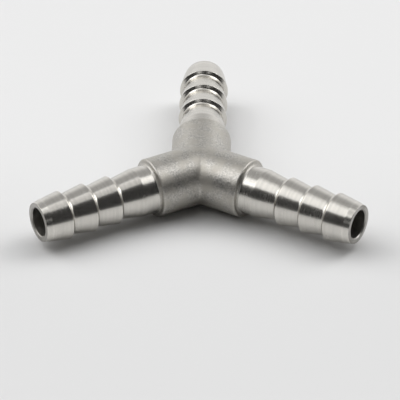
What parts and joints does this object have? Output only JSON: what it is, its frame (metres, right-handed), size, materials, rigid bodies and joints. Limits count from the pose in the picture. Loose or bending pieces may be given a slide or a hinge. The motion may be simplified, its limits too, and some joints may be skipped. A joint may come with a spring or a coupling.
{
  "type": "tubing y connector",
  "caption": "Equal Y connector for push-on hose: a matte cast hub of round bosses with bright turned spigots, barbed so that hose holds, and bores that meet at the centre.",
  "frame": {"origin": "the point where the bore axes cross, in the middle of the hub", "axes": "+Z square to the level plane of the arms, +Y along one arm, the others at 120 degrees to it"},
  "size_m": [0.0612, 0.0529, 0.011],
  "materials": {
    "stainless_steel": "matte as-cast hub with bright turned spigots"
  },
  "bodies": {
    "root": {"y_connector": "stainless_steel"}
  },
  "joints": []
}
